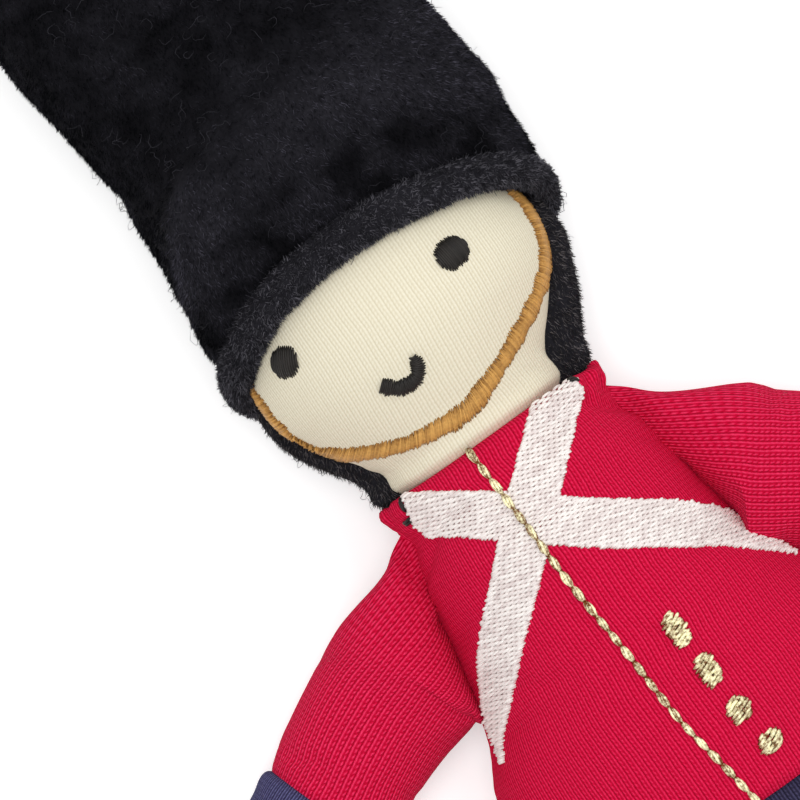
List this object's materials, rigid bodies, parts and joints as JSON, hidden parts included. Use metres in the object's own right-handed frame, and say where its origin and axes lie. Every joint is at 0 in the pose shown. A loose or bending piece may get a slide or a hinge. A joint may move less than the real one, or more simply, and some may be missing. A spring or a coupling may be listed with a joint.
{
  "type": "cloth doll",
  "caption": "Small stuffed cloth doll of a guard: tall black plush hat, cream face, red jacket with crossed belts, navy legs.",
  "frame": {"origin": "on the table, under the middle of the jacket's back, midway between the neck seam and the hem", "axes": "the doll lies on its back: +Z is its front and points up, +Y runs to its head, +X to its left hand"},
  "size_m": [0.1434, 0.2707, 0.042],
  "materials": {
    "red_jersey": "fine red cotton jersey, matte, ribs along the length",
    "navy_jersey": "fine dark navy cotton jersey, matte",
    "navy_cuff": "blue navy knitted cotton, matte",
    "cream_jersey": "fine cream cotton jersey, matte",
    "black_plush": "short black pile plush, soft, a little sheen",
    "black_felt": "black brushed fabric, matte",
    "white_thread": "warm white embroidery thread, slight sheen",
    "gold_thread": "metallic gold embroidery thread",
    "tan_thread": "tan embroidery thread, slight sheen",
    "black_thread": "black embroidery thread, slight sheen",
    "wadding": "white fibre wadding, not seen"
  },
  "bodies": {
    "torso": {"jacket_front": "red_jersey", "jacket_back": "red_jersey", "trousers_front": "navy_jersey", "trousers_back": "navy_jersey", "body_filling": "wadding", "cross_belt_right": "white_thread", "cross_belt_left_upper": "white_thread", "cross_belt_left_lower": "white_thread", "gold_placket": "gold_thread", "button_1": "gold_thread", "button_2": "gold_thread", "button_3": "gold_thread", "button_4": "gold_thread", "corner_stitch_right": "black_thread", "corner_stitch_left": "black_thread"},
    "head": {"head_face": "cream_jersey", "head_back": "black_plush", "head_filling": "wadding", "hat_brim": "black_plush", "hat_crown": "black_plush", "hat_filling": "wadding", "eye_right": "black_thread", "eye_left": "black_thread", "mouth": "black_thread", "chin_strap": "tan_thread"},
    "right_arm": {"right_sleeve": "red_jersey", "right_cuff": "navy_cuff", "right_hand": "cream_jersey", "right_arm_filling": "wadding"},
    "left_arm": {"left_sleeve": "red_jersey", "left_cuff": "navy_cuff", "left_hand": "cream_jersey", "left_arm_filling": "wadding"},
    "right_leg": {"right_trouser_leg": "navy_jersey", "right_boot": "black_felt", "right_leg_filling": "wadding"},
    "left_leg": {"left_trouser_leg": "navy_jersey", "left_boot": "black_felt", "left_leg_filling": "wadding"}
  },
  "joints": [
    {"name": "neck", "type": "hinge", "parent": "torso", "child": "head", "pos_m": [-0.0012, 0.034, 0.013], "axis": [1, 0, 0], "range_deg": [-8, 10], "stiffness_Nm_per_rad": 0.05},
    {"name": "right_shoulder", "type": "hinge", "parent": "torso", "child": "right_arm", "pos_m": [-0.02205, 0.0132, 0.013], "axis": [0.2485, 0.9686, 0], "range_deg": [-40, 60]},
    {"name": "left_shoulder", "type": "hinge", "parent": "torso", "child": "left_arm", "pos_m": [0.02205, 0.0132, 0.013], "axis": [0.2485, -0.9686, 0], "range_deg": [-40, 60]},
    {"name": "right_hip", "type": "hinge", "parent": "torso", "child": "right_leg", "pos_m": [-0.0126, -0.05835, 0.013], "axis": [-1, 0, 0], "range_deg": [-20, 85]},
    {"name": "left_hip", "type": "hinge", "parent": "torso", "child": "left_leg", "pos_m": [0.0126, -0.05835, 0.013], "axis": [-1, 0, 0], "range_deg": [-20, 85]}
  ]
}
